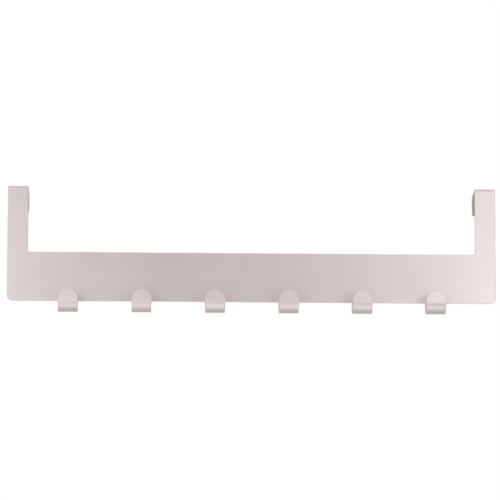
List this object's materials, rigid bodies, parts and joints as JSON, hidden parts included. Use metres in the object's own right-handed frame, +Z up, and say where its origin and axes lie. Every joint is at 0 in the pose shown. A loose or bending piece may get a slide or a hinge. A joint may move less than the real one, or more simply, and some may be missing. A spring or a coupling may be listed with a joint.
{
  "type": "over door hook rail",
  "caption": "Flat metal rail with an arm at each end folded over a door's top edge, and round-tipped coat hooks rolled from its lower edge, all one folded sheet.",
  "frame": {"origin": "mid-width, where the door's front face meets the door's top edge: the plate's back face is Y = 0 and the underside of the folded plates is Z = 0", "axes": "+X along the rail, -Y to the front, where the hooks reach, and +Z up"},
  "size_m": [0.5, 0.0715, 0.1331],
  "materials": {
    "satin_steel": "satin warm grey metal with no visible grain"
  },
  "bodies": {
    "root": {"hook_rail": "satin_steel"}
  },
  "joints": []
}
